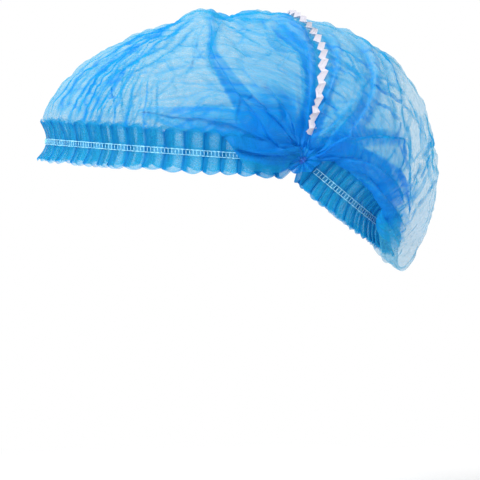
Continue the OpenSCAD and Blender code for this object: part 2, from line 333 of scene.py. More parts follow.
def points_of(obj):
    co = np.empty(len(obj.data.vertices) * 3, np.float32)
    obj.data.vertices.foreach_get("co", co)
    return co.reshape(-1, 3) / MM


def apply_modifiers(obj):
    finished(obj, obj.name)
    for m in list(obj.modifiers):
        bpy.ops.object.modifier_apply(modifier=m.name)
    return obj


def shade_smooth(obj):
    finished(obj, obj.name)
    bpy.ops.object.shade_smooth()
    return obj


def normals_of(points):
    """Outward unit normals of a grid of points."""
    across = np.gradient(points, axis=1)
    up = np.gradient(points, axis=0)
    return unit(np.cross(up, across))


# ---------------------------------------------------------------- materials
def linear(code):
    """sRGB hex to linear RGBA."""
    parts = [int(code[i:i + 2], 16) / 255 for i in (0, 2, 4)]
    return tuple(c / 12.92 if c <= 0.04045 else ((c + 0.055) / 1.055) ** 2.4 for c in parts) + (1,)


def add(tree, kind, links=(), **settings):
    """A node with its settings and its incoming links, as {input: value or socket}."""
    node = tree.nodes.new(kind)
    for key, value in settings.items():
        setattr(node, key, value)
    for key, value in dict(links).items():
        if isinstance(value, bpy.types.NodeSocket):
            tree.links.new(value, node.inputs[key])
        else:
            node.inputs[key].default_value = value
    return node


def new_material(name):
    material = bpy.data.materials.new(name)
    material.use_nodes = True
    material.node_tree.nodes.clear()
    return material, material.node_tree


def spunbond(name, sheer, dense, shade, cover, pilling):
    """Spunbond polypropylene: fine blue filaments, point-bonded by an embossing roll.

    The web is sheer, a fold is dense and more saturated, and each bond point is
    a small fused film that lets a little more light through. cover is how much one flat
    layer hides, and a per-vertex attribute raises it and deepens the colour: partly for
    cloth lying doubled in folds, partly as painted shade along creases and in fold streaks.
    """
    material, tree = new_material(name)
    uv = add(tree, "ShaderNodeUVMap", uv_map="UVMap").outputs["UV"]
    density_and_shade = add(tree, "ShaderNodeAttribute", attribute_name="overlap_and_shade").outputs["Fac"]
    # filaments about 0.02 mm thick cloud together in patches of 1 to 3 mm, which is what shows
    cloud = add(tree, "ShaderNodeTexNoise", {"Vector": uv, "Scale": 0.55, "Detail": 4, "Roughness": 0.65})
    fibre_way = add(tree, "ShaderNodeMapping", {"Vector": uv, "Scale": (0.5, 2.6, 1)})
    fibre = add(tree, "ShaderNodeTexNoise", {"Vector": fibre_way.outputs[0], "Scale": 1.1, "Detail": 5,
                                             "Roughness": 0.7, "Distortion": 0.6})
    # bond points every 1.1 mm in a staggered grid
    bonds = add(tree, "ShaderNodeTexVoronoi", {"Vector": uv, "Scale": 0.9, "Randomness": 0.15},
                distance="EUCLIDEAN")
    bond = add(tree, "ShaderNodeMapRange", {"Value": bonds.outputs["Distance"], "From Min": 0.12,
                                            "From Max": 0.3, "To Min": 1.0, "To Max": 0.0})
    web = add(tree, "ShaderNodeMapRange", {"Value": cloud.outputs[0], "From Min": 0.3, "From Max": 0.72,
                                           "To Min": -pilling, "To Max": pilling})
    strand = add(tree, "ShaderNodeMapRange", {"Value": fibre.outputs[0], "From Min": 0.3, "From Max": 0.7,
                                              "To Min": -pilling, "To Max": pilling})
    uneven = add(tree, "ShaderNodeMath", {0: web.outputs[0], 1: strand.outputs[0]}, operation="ADD")
    bonded = add(tree, "ShaderNodeMath", {0: bond.outputs[0], 1: -0.1, 2: uneven.outputs[0]},
                 operation="MULTIPLY_ADD")
    # cover and colour both follow the attribute: doubled cloth, and painted shade along creases and in fold
    # streaks, which also makes the cloth more opaque there
    thickness_and_shade = add(tree, "ShaderNodeMath", {0: density_and_shade, 1: 1 - cover, 2: cover}, operation="MULTIPLY_ADD")
    cover_now = add(tree, "ShaderNodeMath", {0: thickness_and_shade.outputs[0], 1: bonded.outputs[0]},
                    operation="ADD", use_clamp=True)
    ramp = add(tree, "ShaderNodeValToRGB", {"Fac": density_and_shade})
    ramp.color_ramp.elements[0].color = linear(sheer)
    ramp.color_ramp.elements[1].color = linear(shade)
    middle = ramp.color_ramp.elements.new(0.45)
    middle.color = linear(dense)
    relief = add(tree, "ShaderNodeMath", {0: fibre.outputs[0], 1: bond.outputs[0]}, operation="SUBTRACT")
    bump = add(tree, "ShaderNodeBump", {"Height": relief.outputs[0], "Strength": 0.25, "Distance": 0.0002})
    front = add(tree, "ShaderNodeBsdfPrincipled", {"Base Color": ramp.outputs[0], "Roughness": 0.6,
                                                   "IOR": 1.49, "Specular IOR Level": 0.22,
                                                   "Normal": bump.outputs[0]})
    through_light = add(tree, "ShaderNodeBsdfTranslucent", {"Color": ramp.outputs[0],
                                                            "Normal": bump.outputs[0]})
    lit = add(tree, "ShaderNodeMixShader", {0: 0.45, 1: front.outputs[0], 2: through_light.outputs[0]})
    gap = add(tree, "ShaderNodeBsdfTransparent")
    mixed = add(tree, "ShaderNodeMixShader", {0: cover_now.outputs[0], 1: gap.outputs[0],
                                              2: lit.outputs[0]})
    add(tree, "ShaderNodeOutputMaterial", {"Surface": mixed.outputs[0]})
    return material


def spun_thread(name, colour, ply_mm):
    """Spun polyester sewing thread: matt, softly hairy, with the twist of its plies."""
    material, tree = new_material(name)
    place = add(tree, "ShaderNodeTexCoord").outputs["Object"]
    twist = add(tree, "ShaderNodeTexWave", {"Vector": place, "Scale": 1 / (ply_mm * MM) / TURN,
                                            "Distortion": 3.0, "Detail": 2}, bands_direction="DIAGONAL")
    ramp = add(tree, "ShaderNodeMix", {"Factor": twist.outputs["Fac"], "A": linear(colour[0]),
                                       "B": linear(colour[1])}, data_type="RGBA")
    bump = add(tree, "ShaderNodeBump", {"Height": twist.outputs["Fac"], "Strength": 0.4,
                                        "Distance": 0.0001})
    shader = add(tree, "ShaderNodeBsdfPrincipled", {"Base Color": ramp.outputs[2], "Roughness": 0.7,
                                                    "Normal": bump.outputs[0], "Sheen Weight": 0.3})
    add(tree, "ShaderNodeOutputMaterial", {"Surface": shader.outputs[0]})
    return material


# ---------------------------------------------------------------- camera, light and stage
def studio():
    scene = bpy.context.scene
    scene.view_settings.view_transform = "Standard"
    # the view is level, from the wearer's left, with the cap high in the frame
    middle = Vector((-33 * MM, 0, -44.5 * MM))
    distance, rise = 1.7, math.radians(2.0)
    camera = bpy.data.objects.new("camera", bpy.data.cameras.new("camera"))
    scene.collection.objects.link(camera)
    camera.location = middle + Vector((0, -math.cos(rise), math.sin(rise))) * distance
    camera.rotation_euler = (math.pi / 2 - rise, 0, 0)
    camera.data.sensor_width = 36
    camera.data.lens = 36 * distance / (FRAME_WIDTH * MM)
    scene.camera = camera

    for name, place, size, power in (
        ("key", (-1.0, -0.8, 1.0), 0.6, 30),
        ("fill", (1.1, -0.9, 0.4), 1.2, 8),
        ("top", (0.1, 0.4, 1.5), 1.0, 9),
    ):
        lamp = bpy.data.lights.new(name, "AREA")
        lamp.size, lamp.energy = size, power
        obj = bpy.data.objects.new(name, lamp)
        scene.collection.objects.link(obj)
        obj.location = place
        obj.rotation_euler = (Vector((-0.03, 0, 0)) - Vector(place)).to_track_quat("-Z", "Y").to_euler()

    world = bpy.data.worlds.new("studio")
    scene.world = world
    world.use_nodes = True
    tree = world.node_tree
    tree.nodes.clear()
    path = add(tree, "ShaderNodeLightPath")
    soft = add(tree, "ShaderNodeBackground", {"Color": (1, 1, 1, 1), "Strength": 0.36})
    white = add(tree, "ShaderNodeBackground", {"Color": (1, 1, 1, 1), "Strength": 1.0})
    seen = add(tree, "ShaderNodeMath", {0: path.outputs["Is Camera Ray"], 1: path.outputs["Is Glossy Ray"]},
               operation="MAXIMUM")
    seen = add(tree, "ShaderNodeMath", {0: seen.outputs[0], 1: path.outputs["Is Transmission Ray"]},
               operation="MAXIMUM")
    both = add(tree, "ShaderNodeMixShader", {0: seen.outputs[0], 1: soft.outputs[0], 2: white.outputs[0]})
    add(tree, "ShaderNodeOutputWorld", {"Surface": both.outputs[0]})

    deselect()
    bpy.ops.mesh.primitive_plane_add(size=6, location=(0, 0, -0.2))
    floor = finished(bpy.context.object, "floor")
    material, tree = new_material("pale_floor")
    place = add(tree, "ShaderNodeTexCoord").outputs["Object"]
    grain = add(tree, "ShaderNodeTexNoise", {"Vector": place, "Scale": 40})
    bump = add(tree, "ShaderNodeBump", {"Height": grain.outputs[0], "Strength": 0.02, "Distance": 0.0005})
    paint = add(tree, "ShaderNodeBsdfPrincipled", {"Base Color": linear("F6F6F6"), "Roughness": 0.85,
                                                   "Normal": bump.outputs[0]})
    # the backdrop's sweep: the paper goes to plain white away from the cap, with no horizon
    away = add(tree, "ShaderNodeVectorMath", {0: place}, operation="LENGTH")
    sweep = add(tree, "ShaderNodeMapRange", {"Value": away.outputs["Value"], "From Min": 0.16,
                                             "From Max": 0.42}, interpolation_type="SMOOTHSTEP")
    white = add(tree, "ShaderNodeEmission", {"Color": (1, 1, 1, 1), "Strength": 1.0})
    both = add(tree, "ShaderNodeMixShader", {0: sweep.outputs[0], 1: paint.outputs[0], 2: white.outputs[0]})
    add(tree, "ShaderNodeOutputMaterial", {"Surface": both.outputs[0]})
    floor.data.materials.append(material)


studio()

# ---------------------------------------------------------------- hems
def pleat(phase, lap, depth):
    """One knife pleat to a turn: along in pitches, and away from the elastic in mm.

    The outer layer runs the whole pitch, turns back under by lap and comes forward again.
    """
    turn = np.floor(phase)
    f = phase - turn
    path = 1 + 2 * lap
    d = f * path
    back, on = 1.0, 1.0 + lap
    along = np.where(d < back, d, np.where(d < on, back - (d - back), back - lap + (d - on)))
    turned = depth * (1 - (d - back) / lap * 0.9)
    under = depth * 0.1 * (1 - (d - on) / np.maximum(path - on, 1e-6))
    deep = np.where(d < back, depth * ease(d / 0.25), np.where(d < on, turned, under))
    return turn + along, deep


def hem_cloth(name, hem, pitch, seed, rows, low, high, out, body, material, stands_for):
    """A gathered sheet along a hem, from low to high beside the elastic line, in mm."""
    u, s = hem.arc_length(HEM_START)
    total = s[-1]
    pleats = int(total / pitch)
    cols = pleats * 14
    phase = np.linspace(0, pleats, cols)
    levels = np.linspace(low, high, rows)
    ph, h = np.meshgrid(phase, levels)
    points, density_and_shade, uv = hem_points(hem, pitch, total / pleats, seed, ph, h, out, u, s)
    obj = cloth_grid(name, points, uv)
    store(obj, "overlap_and_shade", density_and_shade)
    obj.data.materials.append(material)
    shade_smooth(obj)
    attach(obj, body)
    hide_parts(*stands_for)
    return obj


def hem_points(hem, pitch, step, seed, ph, h, out, u, s):
    """Pleated hem points; ph counts pleats along the hem, h is the height beside its elastic."""
    wander = 0.35 * noise(ph / 2.3, h * 0 + 3.3, seed) + 0.3 * noise(ph / 5.1, h * 0 + 7.7, seed + 1)
    lean = 0.05 * noise(ph / 1.7, h * 0 + 2.2, seed + 2) * np.abs(h) / FRILL_DROP
    away = np.abs(h) / FRILL_DROP
    deep = (0.3 + 1.6 * away ** 0.8) * (0.75 + 0.35 * noise(np.floor(ph) * 1.7, h * 0 + 1.1, seed + 3))
    lap = 0.3 - 0.06 * away + 0.05 * noise(np.floor(ph) * 2.3, h * 0 + 4.4, seed + 6)
    along, depth = pleat(ph, lap, deep)
    a = np.clip((along + wander * 0.95 + lean) * step, 0, s[-1])
    turn = np.interp(a, s, u)
    reach = hem.out_from_axis(turn)
    full = np.where(h > 0, BAND_RISE, FRILL_DROP)
    share = np.minimum(1, hem.half(turn, full, HEM_START, 3.5, 1.6 if hem is REAR else 0.8) / full)
    flare = np.where(h > 0, BAND_FLARE * (h / BAND_RISE) ** 2, FRILL_FLARE * (h / FRILL_DROP) ** 2)
    flare = flare * np.clip((reach - HEM_START) / 25, 0, 1)
    f = ph - np.floor(ph)
    bow = 1.7 * np.sin(np.clip(f / SCALLOP, 0, 1) * math.pi) - 0.7 + 0.7 * (f - 0.3)
    bow = bow + 0.5 * noise(np.floor(ph) * 1.9, h * 0, seed + 7)
    ragged = bow * min(1.0, pitch / 7) + 0.35 * noise(ph * 4, h * 0 + 5.1, seed + 4)
    height = (h + np.sign(h) * ragged * np.clip(away - 0.45, 0, 1) * 2.0) * share
    points = hem.at(turn, height, out + flare + np.sign(out) * depth * np.clip(reach / 14, 0.2, 1))
    # darker lines at each pleat's turns: partly cloth lying doubled there, partly painted shade
    crease = np.exp(-(np.minimum(f, 1 - f) / 0.035) ** 2) + np.exp(-((f - PLEAT_OPEN) / 0.035) ** 2)
    # a random tone for each pleat, plus painted shade that darkens each open face towards the turn where it
    # folds back
    facet_tone_and_shade = 0.6 * noise(np.floor(ph) * 3.1, h * 0, seed + 5) + 0.9 * (f / PLEAT_OPEN - 0.5) * (f < PLEAT_OPEN)
    arch = np.sin(np.clip(f / SCALLOP, 0, 1) * math.pi)
    density_and_shade = 0.36 - 0.38 * arch + 0.2 * facet_tone_and_shade + 0.8 * np.minimum(crease, 1)
    density_and_shade = density_and_shade + 0.18 * np.exp(-(away / 0.35) ** 2) + 0.25 * ease((away - 0.86) / 0.1)
    density_and_shade = density_and_shade + 0.5 * np.exp(-(reach / 18) ** 2)
    path = (np.floor(ph) + f) * step * 1.6
    return points, np.clip(density_and_shade, -0.2, 1), np.stack([path, h], -1)


crown_cloth = spunbond("embossed_spunbond_polypropylene", SHEER, BRIGHT, DEEP, 0.44, 0.12)
hem_web = spunbond("doubled_spunbond_polypropylene", HEM_SHEER, HEM_BRIGHT, HEM_DEEP, 0.46, 0.12)

for hem, side, pitch, cut, seed in (
    (FRONT, "front", FRONT_PITCH, FRONT_CUT, SEED),
    (REAR, "rear", REAR_PITCH, REAR_CUT, SEED + 60),
):
    more = REAR_FRILL_EXTRA if side == "rear" else 0.0
    hem_cloth(side + "_hem_outer_cloth", hem, pitch, seed, 22, -FRILL_DROP - more, BAND_RISE, 0.9,
              side + "_hem", hem_web, [side + "_hem_face"])
    hem_cloth(side + "_hem_inner_cloth", hem, pitch, seed, 18, -FRILL_DROP - more,
              BAND_RISE + 0.8, -0.9, side + "_hem", hem_web, [side + "_hem_turning"])


# ---------------------------------------------------------------- crown cloth
def polar(fan, reach):
    """A point in the cap's middle plane, from its fan angle and its distance to the fan line."""
    a = np.radians(fan)
    return np.stack([-np.cos(a) * reach, np.sin(a) * reach], -1)


class Fold:
    """A fold whose crest follows stations of fan angle, reach and half width, on one or both sides."""

    def __init__(self, stations, lap=1.0, lift=1.0, dense=0.0, side=0, count=14):
        t = np.linspace(0, 1, len(stations))
        k = np.linspace(0, 1, count)
        rows = through([(a, b) for a, b in zip(t, np.array(stations, float))], k)
        self.line = polar(rows[:, 0], rows[:, 1])
        self.half = np.maximum(rows[:, 2], 0.3)
        self.lap, self.lift, self.dense, self.side = lap, lift, dense, side

    def nearest(self, flat):
        """Signed distance, half width there and how far along, for each flat point."""
        best = np.full(flat.shape[:-1], 1e9)
        signed, half, k = best.copy(), best.copy(), np.zeros_like(best)
        way = np.zeros(flat.shape)
        n = len(self.line) - 1
        for i in range(n):
            p, q = self.line[i], self.line[i + 1]
            d = q - p
            raw = ((flat - p) @ d) / (d @ d)
            t = np.clip(raw, 0, 1)
            gap = flat - (p + t[..., None] * d)
            dist = np.linalg.norm(gap, axis=-1)
            side = np.array([-d[1], d[0]]) / np.linalg.norm(d)
            near = dist < best
            best = np.where(near, dist, best)
            signed = np.where(near, (flat - p) @ side, signed)
            half = np.where(near, mix(self.half[i], self.half[i + 1], t), half)
            over = np.where((i == n - 1) & (raw > 1), (raw - 1) * n, 0)
            k = np.where(near, (i + t) / n + over, k)
            way = np.where(near[..., None], side, way)
        return best, signed, half, k, way


def press(points, normal, share, folds):
    """Push every fold into the surface; returns the folded points and the added density: partly cloth lying
    doubled in the folds, partly painted shade on narrow creases, fold edges and streaks.
    """
    flat = points[..., [0, 2]]
    moved = np.zeros_like(points)
    dense = np.zeros(points.shape[:-1])
    for fold in folds:
        low, high = fold.line.min(0) - 12, fold.line.max(0) + 12
        inside = np.all((flat > low) & (flat < high), axis=-1)
        if fold.side:
            inside &= share * fold.side > -0.12
        if not inside.any():
            continue
        best, signed, half, k, way = fold.nearest(flat[inside])
        fade = ease(np.clip((half * 1.6 - best) / (half * 0.6), 0, 1))
        fade = fade * ease(k / 0.12) * ease((1.0 - k) / 0.15)
        if fold.side:
            fade = fade * ease((share[inside] * fold.side + 0.12) / 0.2)
        wave = -np.sin(math.pi * np.clip(signed / half, -1, 1))
        n = normal[inside]
        g = np.stack([way[..., 0], np.zeros(len(way)), way[..., 1]], -1)
        g = g - n * (g * n).sum(-1, keepdims=True)
        size = (wave * fade * half)[..., None]
        moved[inside] += g * size * 0.55 * fold.lap + n * size * 0.40 * fold.lift
        # the fold's body: cloth lying doubled along broad folds, painted shade along narrow creases
        body = ease(np.clip((half * 1.05 - np.abs(signed)) / np.minimum(half * 0.45, 0.9), 0, 1))
        # darker lines along the fold's edges: partly cloth turning over there, partly painted shade
        rim = np.exp(-((half - np.abs(signed)) / 0.8) ** 2)
        rim = rim + 0.5 * np.exp(-((half * 0.35 - signed) / 0.7) ** 2)
        # painted shade: lighter and darker streaks along the fold
        painted_shade_streak = noise(signed / 1.7, k * 4, 77) * np.clip(half / 4, 0, 1)
        tone = np.minimum(1.4, 0.8 + 0.45 * rim * np.clip(half / 3, 0.2, 1)) + 0.35 * painted_shade_streak
        here = fold.dense * body * fade * tone
        spot = dense[inside]
        dense[inside] = np.maximum(spot, here) + 0.35 * np.minimum(spot, here)
    # where many folds meet, the cloth can stand out only so far
    size = np.linalg.norm(moved, axis=-1)
    most = FOLD_STAND_NEAR + FOLD_STAND_MORE * ease(np.linalg.norm(flat, axis=-1) / 26)
    moved = moved * (most * np.tanh(size / most) / np.maximum(size, 1e-9))[..., None]
    return moved, dense


def cells(x, y, seed):
    """Distances to the nearest and second nearest of scattered points, one to a unit square."""
    rng = np.random.default_rng(seed)
    jx, jy = rng.uniform(0, 1, (64, 64)), rng.uniform(0, 1, (64, 64))
    xi, yi = np.floor(x).astype(int), np.floor(y).astype(int)
    first, second = np.full(x.shape, 9.0), np.full(x.shape, 9.0)
    for i in (-1, 0, 1):
        for j in (-1, 0, 1):
            cx, cy = (xi + i) % 64, (yi + j) % 64
            d = np.hypot(xi + i + jx[cx, cy] - x, yi + j + jy[cx, cy] - y)
            second = np.where(d < first, first, np.minimum(second, d))
            first = np.minimum(first, d)
    return first, second


def crumples(s, t, size, seed, stretch=1.0):
    """Facets with sharp edges, as in a paper that was folded and opened. Height, and edge lines that the
    crown uses as painted shade along the creases.
    """
    wx = s + size * 0.35 * noise(s / size / 1.3, t / size / 1.3, seed + 5)
    wy = t + size * 0.35 * noise(s / size / 1.3, t / size / 1.3, seed + 6)
    first, second = cells(wx / size * stretch, wy / size, seed)
    roof = second - first
    return roof * size, np.exp(-(roof * size / 1.6) ** 2)


def brow_folds(rng):
    """Gathers rising from the front hem, leaning back and running together at the crown's crest."""
    folds = []
    for side in (1, -1):
        for inset in np.arange(0.025, 0.42, 0.026):
            start = inset + rng.uniform(-0.008, 0.008)
            low, high = rng.uniform(7, 9), rng.uniform(26, 57) if inset < 0.3 else rng.uniform(18, 34)
            wide = rng.uniform(0.6, 1.5)
            stations = []
            for k in np.linspace(0, 1, 6):
                fan = mix(low, high, k)
                closing = (1 - ease((fan - 8) / 52)) ** 1.1
                reach = float(through(DOME, np.array(fan))) * (1 - start * closing)
                stations.append((fan, reach + rng.uniform(-0.8, 0.8), wide * (1.2 - 0.75 * k)))
            folds.append(Fold(stations, lap=rng.uniform(0.7, 1.5), lift=rng.uniform(0.8, 1.6),
                              dense=rng.uniform(0.3, 1.0), side=side))
    return folds


def gathers(stations, rng, lap, lift, dense):
    """The same fold on both sides of the head; the right one wanders a little from the left."""
    folds = [Fold(stations, lap, lift, dense, side=1)]
    other = [(f + rng.uniform(-3, 3), r * rng.uniform(0.95, 1.04), w * rng.uniform(0.8, 1.2))
             for f, r, w in stations]
    return folds + [Fold(other, lap, lift, dense, side=-1)]


def front_folds(rng):
    folds = brow_folds(rng)
    # broad fold from the gather to the crest, and the lobes beside it
    folds += gathers([(30, 5, 4), (43, 32, 7), (45, 46, 6), (48, 62, 4.5), (50, 74, 3.4), (56, 86, 2.6),
                      (57.5, 97, 2.2)], rng, 0.9, 0.9, 0.55)
    folds += gathers([(64, 4, 3), (61, 18, 5), (55, 33, 6), (51, 50, 5)], rng, 1.0, 1.0, 0.3)
    folds += gathers([(80, 4, 3), (76, 18, 4.5), (68, 33, 5.5), (63, 46, 5)], rng, 1.0, 1.0, 0.25)
    folds += gathers([(95, 4, 4), (96, 22, 4), (96, 40, 3), (92, 58, 5), (84, 70, 6.5), (77, 80, 4.5)], rng,
                     0.7, 0.8, 0.62)
    # the doubled lap above the front hem
    folds += gathers([(14, 6, 3), (26, 18, 6), (27, 37, 8), (23, 54, 7), (18.5, 71, 5.5), (17, 86, 3),
                      (14, 94, 1.4)], rng, 0.7, 0.5, 0.5)
    folds += gathers([(6, 8, 4), (8, 24, 5), (10, 38, 4), (9, 50, 2)], rng, 0.8, 0.8, 0.5)
    # the two bold gathers that lean back to the crest, and the slack creases behind them
    folds += gathers([(10.6, 101, 0.9), (15.8, 102, 1.3), (22, 109, 1.3), (31, 102, 1.3), (42.5, 97, 1.7),
                      (55.8, 95, 1.4)], rng, 1.0, 1.0, 0.7)
    folds += gathers([(11, 118, 0.8), (18, 119, 1.4), (29, 112, 1.4), (40, 103, 1.6), (50, 99, 1.2)], rng,
                     1.0, 1.0, 0.7)
    folds += gathers([(21, 101, 0.8), (34.5, 91, 1.2), (35, 83, 1.1), (45, 74, 1.2)], rng, 0.5, 0.6, 0.34)
    folds += gathers([(33.5, 80, 1.2), (28, 81, 1.2), (22.4, 84, 0.8)], rng, 0.5, 0.6, 0.3)
    folds += gathers([(55.2, 90, 0.8), (47, 82.5, 1.2), (45.3, 71, 1.2)], rng, 0.4, 0.5, 0.3)
    # the slack between the crest and the tape
    folds += gathers([(56, 96, 1), (62, 84, 1.3), (69, 73, 1.4), (75, 68, 0.8)], rng, 1.1, 0.9, 0.4)
    folds += gathers([(58, 93, 1), (66, 82, 1.4), (72, 77, 1.4), (79, 76, 0.8)], rng, 1.1, 0.9, 0.4)
    folds += gathers([(59, 87, 1), (66, 84.5, 2.2), (74, 81, 2.4), (82, 77.5, 1.4)], rng, 1.0, 0.8, 0.4)
    # wandering creases of the opened pleats
    for i in range(12):
        fan, reach = rng.uniform(20, 80), rng.uniform(38, 84)
        way, run = rng.uniform(0, TURN), rng.uniform(6, 12)
        stations = [(fan + math.cos(way) * k * run * 57 / reach, reach + math.sin(way) * k * run, w)
                    for k, w in ((-1, 0.8), (0, 1.4), (1, 0.8))]
        folds.append(Fold(stations, 0.45, 0.6, rng.uniform(0.12, 0.36), side=rng.choice((1, -1))))
    return folds


def rear_folds(rng):
    folds = []
    folds += gathers([(112, 4, 3), (110, 22, 4), (111, 42, 2.6), (108, 58, 3.6), (99, 73, 4)], rng,
                     0.7, 0.7, 0.5)
    folds += gathers([(160, 4, 4), (157, 16, 5.5), (146, 33, 5.5), (137.5, 48, 5), (125, 64, 4.2),
                      (111.5, 75, 3)], rng, 0.8, 1.0, 0.42)
    folds += gathers([(124, 73, 1), (133, 69.5, 2), (146, 63, 2), (157, 57.5, 2.2), (170, 57, 1.6)], rng, 1.1,
                     0.9, 0.45)
    folds += gathers([(166, 60, 1), (176, 57, 1.6), (192, 58, 2), (206, 63, 1.4)], rng, 1.2, 0.9, 0.4)
    # the sweep from the gather down to the pouch
    folds += gathers([(172, 4, 4), (176, 22, 6), (184, 38, 6), (196, 52, 5.5), (206, 61, 3)], rng,
                     0.8, 1.0, 0.6)
    folds += gathers([(190, 6, 4), (192, 24, 6), (199, 40, 6), (208, 55, 5.5), (216, 70, 3.5)], rng,
                     0.8, 1.0, 0.65)
    folds += gathers([(206, 8, 4), (205, 26, 5.5), (211, 44, 6), (218, 60, 5.5), (224, 75, 4)], rng,
                     0.8, 1.0, 0.65)
    folds += gathers([(144, 4, 3), (152, 18, 5), (160, 34, 5), (166, 48, 4), (170, 60, 2)], rng,
                     0.9, 1.0, 0.42)
    # creases square to the tape
    for reach in (25, 33, 41, 49, 56, 63):
        tilt = rng.uniform(-2, 2)
        folds += gathers([(95, reach, 0.7), (105, reach + tilt, 1.1), (116, reach + tilt * 1.5, 1.1),
                          (128, reach + tilt * 2, 0.7)], rng, 1.0, 0.8, 0.5)
    # long straight creases over the back of the head, meeting in points; their dark lines are painted shade
    for side in (1, -1):
        corners = [(rng.uniform(126, 206), rng.uniform(52, 72)) for i in range(13)]
        for fan, reach in corners:
            ways = ((rng.uniform(9, 20), rng.uniform(-10, 12)), (rng.uniform(-20, -9), rng.uniform(-10, 12)))
            for turn, climb in ways:
                half_way = (fan + turn / 2, reach + climb / 2, 1.0)
                stations = [(fan, reach, 1.1), half_way, (fan + turn, reach + climb, 0.6)]
                folds.append(Fold(stations, 1.0, 1.2, rng.uniform(0.5, 0.95), side=side, count=4))
    return folds


def crown_sheet(name, surface, shape, seed, folds, stands_for):
    rows, cols = shape
    k, w = np.meshgrid(np.linspace(1, -1, cols), np.linspace(0, 1, rows))
    points = surface(w, k)
    normal = normals_of(points)
    s = np.cumsum(np.linalg.norm(np.gradient(points, axis=1), axis=-1), axis=1)
    s = s - s[:, [cols // 2]]
    t = np.cumsum(np.linalg.norm(np.gradient(points, axis=0), axis=-1), axis=0)
    edge = np.minimum(1, np.minimum(w, 1 - w) * 22)
    bold = 0.75 + 0.5 * noise(s / 40, t / 40, seed)
    roof, line = crumples(s, t, 17, seed + 1)
    fine, fine_crease_shade = crumples(s, t, 7.5, seed + 2, 0.8)
    height = 0.16 * roof * bold + 0.13 * fine + 0.5 * noise(s / 11, t / 13, seed + 3)
    moved, dense = press(points, normal, k, folds)
    reach = np.hypot(points[..., 0], points[..., 2])
    fan = fan_of(points)
    # ray: radial streaks near the gathers; in the density they are partly uneven bunching of the gathered
    # cloth and partly painted shade in the valleys between its lobes
    ray = noise(fan / 7, reach / 40, seed + 8) + 0.6 * noise(fan / 3, reach / 30, seed + 9)
    near = np.exp(-(reach / 25) ** 2)
    gathered = (0.52 + 0.22 * ray) * near + 0.27 * np.exp(-(reach / 70) ** 4)
    gathered = gathered - 0.44 * ease((fan - 126) / 30) * ease((reach - 50) / 12)
    web_reach = 44 + 5 * ray - 0.12 * np.abs(fan - 60)
    web = ease((fan - 36) / 10) * ease((104 - fan) / 16) * ease((web_reach - reach) / 11)
    gathered = gathered + web * (0.32 + 0.2 * ray)
    pleats = noise(fan / 9, reach / 60, seed + 10) + 0.5 * noise(fan / 4, reach / 50, seed + 11)
    height = height * (1 - 0.7 * near) + 2.7 * pleats * np.exp(-(reach / 38) ** 2) * np.clip(reach / 16, 0, 1)
    height = height + 0.9 * noise(s / 27, t / 23, seed + 12)
    points = points + (moved + normal * height[..., None]) * edge[..., None]
    spread = noise(s / 24, t / 24, seed + 4)
    # the crumples' edge lines darken the cloth as painted shade along their creases
    density_and_shade = -0.03 + 0.09 * spread + 0.9 * dense + 0.36 * line * bold + 0.16 * fine_crease_shade + gathered
    density_and_shade = np.where(density_and_shade > 0.8, 0.8 + (density_and_shade - 0.8) * 0.4, density_and_shade)
    obj = cloth_grid(name, points, np.stack([s, t], -1))
    store(obj, "overlap_and_shade", np.clip(density_and_shade, -0.2, 1))
    obj.data.materials.append(crown_cloth)
    shade_smooth(obj)
    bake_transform(obj)
    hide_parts(*stands_for)
    return obj


crown_sheet("front_crown_cloth", front_surface, (230, 380), SEED + 200, front_folds(np.random.default_rng(5)),
            ["crown_front"])
crown_sheet("rear_crown_cloth", rear_surface, (250, 340), SEED + 300, rear_folds(np.random.default_rng(6)),
            ["crown_rear"])

# ---------------------------------------------------------------- tape, elastics and sewing
def woven(name, colour, shade, pitch_mm, rough):
    """Plain woven or braided ribbon: two crossing sets of fine ribs with shaded gaps."""
    material, tree = new_material(name)
    uv = add(tree, "ShaderNodeUVMap", uv_map="UVMap").outputs["UV"]
    warp = add(tree, "ShaderNodeTexWave", {"Vector": uv, "Scale": TURN / pitch_mm / 20 * 3.2,
                                           "Distortion": 0.4}, bands_direction="X")
    weft = add(tree, "ShaderNodeTexWave", {"Vector": uv, "Scale": TURN / pitch_mm / 20 * 3.2,
                                           "Distortion": 0.4}, bands_direction="Y")
    ribs = add(tree, "ShaderNodeMath", {0: warp.outputs["Fac"], 1: weft.outputs["Fac"]}, operation="MULTIPLY")
    tone = add(tree, "ShaderNodeMix", {"Factor": ribs.outputs[0]}, data_type="RGBA")
    tone.inputs[6].default_value = linear(shade)
    tone.inputs[7].default_value = linear(colour)
    bump = add(tree, "ShaderNodeBump", {"Height": ribs.outputs[0], "Strength": 0.3, "Distance": 0.0001})
    shader = add(tree, "ShaderNodeBsdfPrincipled", {"Base Color": tone.outputs[2], "Roughness": rough,
                                                    "Specular IOR Level": 0.2, "Normal": bump.outputs[0]})
    add(tree, "ShaderNodeOutputMaterial", {"Surface": shader.outputs[0]})
    return material


def thicken(obj, thickness):
    """Give a thin sheet its own thickness, evenly to both sides."""
    m = obj.modifiers.new("thickness", "SOLIDIFY")
    m.thickness = thickness * MM
    m.offset = 0
    return apply_modifiers(obj)


